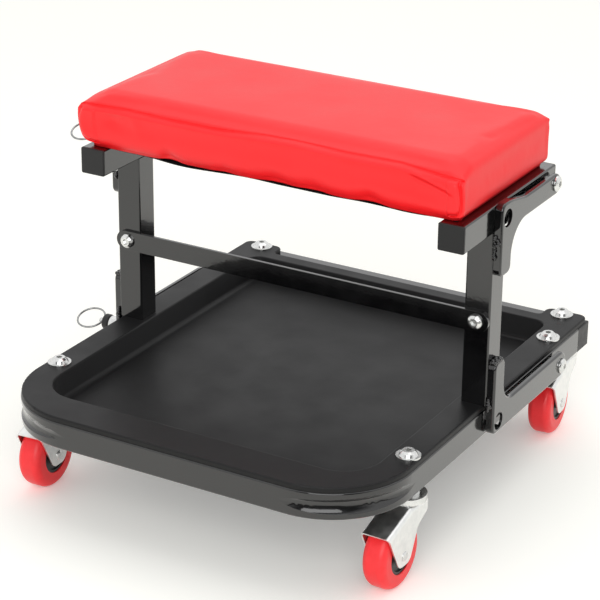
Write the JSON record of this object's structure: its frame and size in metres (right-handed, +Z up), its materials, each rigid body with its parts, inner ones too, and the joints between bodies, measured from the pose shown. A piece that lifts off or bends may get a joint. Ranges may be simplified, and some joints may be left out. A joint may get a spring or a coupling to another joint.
{
  "type": "rolling mechanic's creeper seat",
  "caption": "Low rolling work seat: padded seat on a folding C-shaped tube frame over a tool tray with swivel casters and spring plunger locks.",
  "frame": {"origin": "on the floor, under the middle of the tube frame", "axes": "+X across the seat to its right side, +Y from the front to the back, +Z up from the floor"},
  "size_m": [0.4616, 0.456, 0.3512],
  "materials": {
    "frame_paint": "gloss black paint",
    "tray_plastic": "satin moulded",
    "black_plastic": "satin moulded",
    "hub_plastic": "satin moulded",
    "red_tread": "smooth moulded",
    "red_vinyl": "smooth vinyl over foam",
    "dust_cloth": "thin black felt",
    "board_wood": "plain plywood",
    "zinc_plate": "bright zinc plate",
    "spring_steel": "bright drawn wire"
  },
  "bodies": {
    "base": {"base_frame": "frame_paint", "rear_cross_tube": "frame_paint", "cross_tube_plugs": "black_plastic", "tool_tray": "tray_plastic", "caster_cap_nuts": "zinc_plate", "tray_bolts": "zinc_plate", "tray_nuts": "zinc_plate", "caster_stems": "zinc_plate", "lower_pivot_bolts": "zinc_plate", "lower_pivot_spacers": "zinc_plate", "lower_pivot_nuts": "zinc_plate"},
    "c_frame": {"upright_right": "frame_paint", "upright_left": "frame_paint", "cross_bar": "frame_paint", "cross_bar_bolts": "zinc_plate", "cross_bar_nuts": "zinc_plate", "lower_bracket_right": "frame_paint", "lower_bracket_left": "frame_paint", "upper_bracket_right": "frame_paint", "upper_bracket_left": "frame_paint", "plunger_sleeve_lower": "zinc_plate", "plunger_sleeve_upper": "zinc_plate", "plunger_spring_lower": "spring_steel", "plunger_spring_upper": "spring_steel"},
    "seat": {"seat_beam_right": "frame_paint", "seat_beam_left": "frame_paint", "beam_plugs": "black_plastic", "dust_cover": "dust_cloth", "seat_board": "board_wood", "seat_bolts": "zinc_plate", "cushion": "red_vinyl", "upper_pivot_bolts": "zinc_plate", "upper_pivot_spacers": "zinc_plate", "upper_pivot_nuts": "zinc_plate"},
    "plunger_lower": {"plunger_pin_lower": "zinc_plate", "plunger_knob_lower": "black_plastic"},
    "ring_lower": {"pull_ring_lower": "spring_steel"},
    "plunger_upper": {"plunger_pin_upper": "zinc_plate", "plunger_knob_upper": "black_plastic"},
    "ring_upper": {"pull_ring_upper": "spring_steel"},
    "fork_front_left": {"caster_fork_front_left": "zinc_plate", "wheel_axle_front_left": "zinc_plate", "swivel_balls_front_left": "spring_steel"},
    "wheel_front_left": {"wheel_hub_front_left": "hub_plastic", "tyre_front_left": "red_tread"},
    "fork_front_right": {"caster_fork_front_right": "zinc_plate", "wheel_axle_front_right": "zinc_plate", "swivel_balls_front_right": "spring_steel"},
    "wheel_front_right": {"wheel_hub_front_right": "hub_plastic", "tyre_front_right": "red_tread"},
    "fork_rear_left": {"caster_fork_rear_left": "zinc_plate", "wheel_axle_rear_left": "zinc_plate", "swivel_balls_rear_left": "spring_steel"},
    "wheel_rear_left": {"wheel_hub_rear_left": "hub_plastic", "tyre_rear_left": "red_tread"},
    "fork_rear_right": {"caster_fork_rear_right": "zinc_plate", "wheel_axle_rear_right": "zinc_plate", "swivel_balls_rear_right": "spring_steel"},
    "wheel_rear_right": {"wheel_hub_rear_right": "hub_plastic", "tyre_rear_right": "red_tread"}
  },
  "joints": [
    {"name": "frame_fold", "type": "hinge", "parent": "base", "child": "c_frame", "pos_m": [0, 0.14, 0.0942], "axis": [-1, 0, 0], "range_deg": [0, 90]},
    {"name": "seat_tilt", "type": "hinge", "parent": "c_frame", "child": "seat", "pos_m": [0, 0.1035, 0.2885], "axis": [-1, 0, 0], "range_deg": [0, 90]},
    {"name": "plunger_pull_lower", "type": "slide", "parent": "c_frame", "child": "plunger_lower", "axis": [-1, 0, 0], "range_m": [0, 0.0065], "stiffness_N_per_m": 600, "springref_m": -0.01},
    {"name": "ring_swing_lower", "type": "hinge", "parent": "plunger_lower", "child": "ring_lower", "pos_m": [-0.226, 0.003, 0.0942], "axis": [0, 0.9397, 0.342], "range_deg": [-80, 80]},
    {"name": "plunger_pull_upper", "type": "slide", "parent": "c_frame", "child": "plunger_upper", "axis": [-1, 0, 0], "range_m": [0, 0.0065], "stiffness_N_per_m": 600, "springref_m": -0.01},
    {"name": "ring_swing_upper", "type": "hinge", "parent": "plunger_upper", "child": "ring_upper", "pos_m": [-0.226, 0.003, 0.2885], "axis": [0, 0.9397, 0.342], "range_deg": [-80, 80]},
    {"name": "caster_swivel_front_left", "type": "hinge", "parent": "base", "child": "fork_front_left", "pos_m": [-0.1815, -0.1301, 0.072], "axis": [0, 0, 1], "continuous": true},
    {"name": "wheel_roll_front_left", "type": "hinge", "parent": "fork_front_left", "child": "wheel_front_left", "pos_m": [-0.18056, -0.15708, 0.03175], "axis": [0.9994, 0.0349, 0], "continuous": true},
    {"name": "caster_swivel_front_right", "type": "hinge", "parent": "base", "child": "fork_front_right", "pos_m": [0.1815, -0.1301, 0.072], "axis": [0, 0, 1], "continuous": true},
    {"name": "wheel_roll_front_right", "type": "hinge", "parent": "fork_front_right", "child": "wheel_front_right", "pos_m": [0.18056, -0.15708, 0.03175], "axis": [0.9994, -0.0349, 0], "continuous": true},
    {"name": "caster_swivel_rear_left", "type": "hinge", "parent": "base", "child": "fork_rear_left", "pos_m": [-0.1704, 0.213, 0.072], "axis": [0, 0, 1], "continuous": true},
    {"name": "wheel_roll_rear_left", "type": "hinge", "parent": "fork_rear_left", "child": "wheel_rear_left", "pos_m": [-0.16618, 0.18633, 0.03175], "axis": [0.9877, 0.1564, 0], "continuous": true},
    {"name": "caster_swivel_rear_right", "type": "hinge", "parent": "base", "child": "fork_rear_right", "pos_m": [0.1704, 0.213, 0.072], "axis": [0, 0, 1], "continuous": true},
    {"name": "wheel_roll_rear_right", "type": "hinge", "parent": "fork_rear_right", "child": "wheel_rear_right", "pos_m": [0.17275, 0.1861, 0.03175], "axis": [0.9962, 0.0872, 0], "continuous": true}
  ]
}
